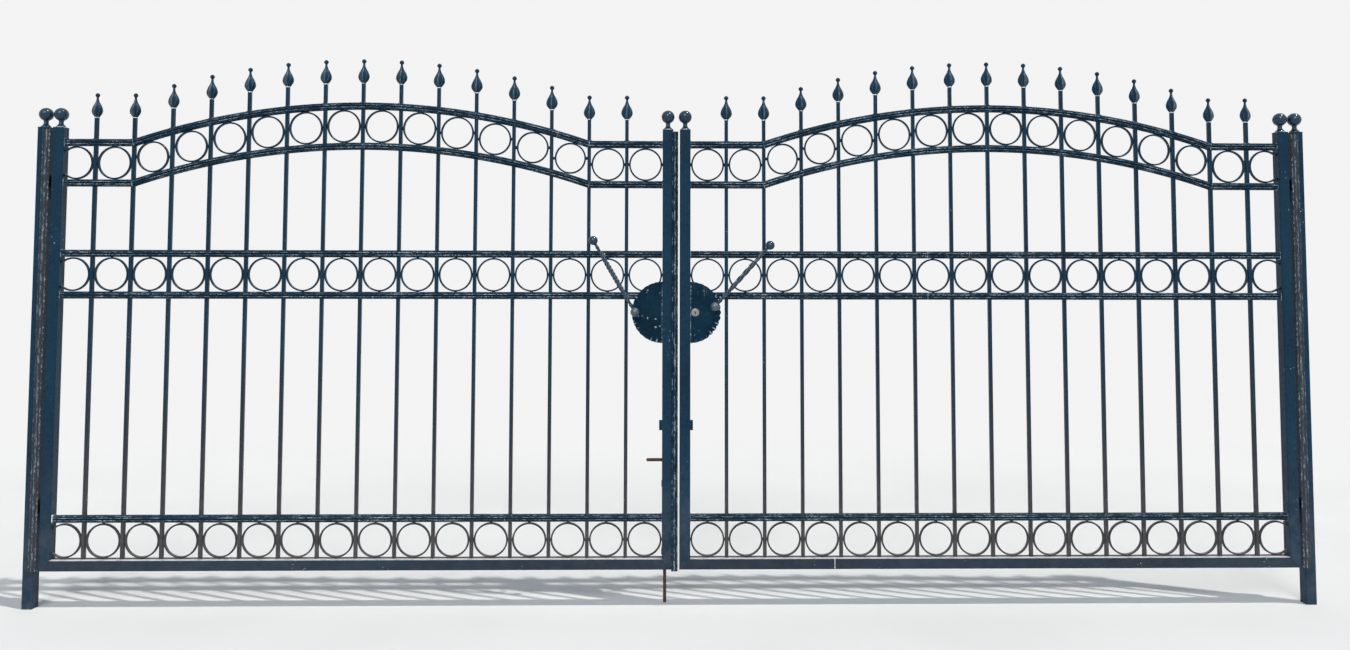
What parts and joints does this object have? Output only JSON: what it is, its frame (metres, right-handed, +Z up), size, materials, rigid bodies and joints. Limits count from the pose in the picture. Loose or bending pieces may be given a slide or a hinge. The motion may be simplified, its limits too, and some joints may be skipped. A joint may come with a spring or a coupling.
{
  "type": "double driveway gate",
  "caption": "Double-leaf wrought iron driveway gate with arched tops, rows of rings, bud finials, pull handles, key lock, drop bolt and its two steel posts.",
  "frame": {"origin": "centre of the foot of the left post, seen from the street", "axes": "+X along the gate to the right post, +Y from the street into the property, +Z up"},
  "size_m": [4.779, 0.131, 2.033],
  "materials": {
    "frame_paint": "semi-gloss dark blue-grey paint",
    "embossed_paint": "embossed and hammered, semi-gloss dark blue-grey paint",
    "bar_paint": "semi-gloss dark blue-grey paint",
    "plate_paint": "hammered, semi-gloss dark blue-grey paint",
    "handle_paint": "twisted bar, semi-gloss dark blue-grey paint",
    "fittings_paint": "semi-gloss dark paint",
    "lock_steel": "satin nickel",
    "bolt_iron": "bare iron with brown rust"
  },
  "bodies": {
    "posts": {"left_post": "frame_paint", "right_post": "frame_paint", "post_balls": "frame_paint", "post_strips": "embossed_paint", "left_hinge_pins": "fittings_paint", "right_hinge_pins": "fittings_paint"},
    "left_leaf": {"left_hinge_stile": "frame_paint", "left_meeting_stile": "frame_paint", "left_bottom_rail": "frame_paint", "left_low_rail": "embossed_paint", "left_mid_rails": "embossed_paint", "left_arch_rails": "embossed_paint", "left_bars": "bar_paint", "left_finials": "bar_paint", "left_rings_low": "bar_paint", "left_rings_mid": "bar_paint", "left_rings_arch": "bar_paint", "left_balls": "frame_paint", "left_lock_plate": "plate_paint", "left_pull_handle": "handle_paint", "left_hinge_barrels": "fittings_paint", "meeting_strip": "embossed_paint", "bolt_guides": "fittings_paint", "left_catch": "fittings_paint"},
    "right_leaf": {"right_hinge_stile": "frame_paint", "right_meeting_stile": "frame_paint", "right_bottom_rail": "frame_paint", "right_low_rail": "embossed_paint", "right_mid_rails": "embossed_paint", "right_arch_rails": "embossed_paint", "right_bars": "bar_paint", "right_finials": "bar_paint", "right_rings_low": "bar_paint", "right_rings_mid": "bar_paint", "right_rings_arch": "bar_paint", "right_balls": "frame_paint", "right_lock_plate": "plate_paint", "right_lock_case": "fittings_paint", "right_key_cylinder": "lock_steel", "right_pull_handle": "handle_paint", "right_hinge_barrels": "fittings_paint", "right_catch": "fittings_paint"},
    "bolt": {"drop_bolt": "bolt_iron"}
  },
  "joints": [
    {"name": "left_leaf_swing", "type": "hinge", "parent": "posts", "child": "left_leaf", "pos_m": [0.028, 0.038, 0.3], "axis": [0, 0, 1], "range_deg": [0, 90]},
    {"name": "right_leaf_swing", "type": "hinge", "parent": "posts", "child": "right_leaf", "pos_m": [4.701, 0.038, 0.3], "axis": [0, 0, -1], "range_deg": [0, 90]},
    {"name": "drop_bolt_lift", "type": "slide", "parent": "left_leaf", "child": "bolt", "axis": [0, 0, 1], "range_m": [0, 0.12]}
  ]
}
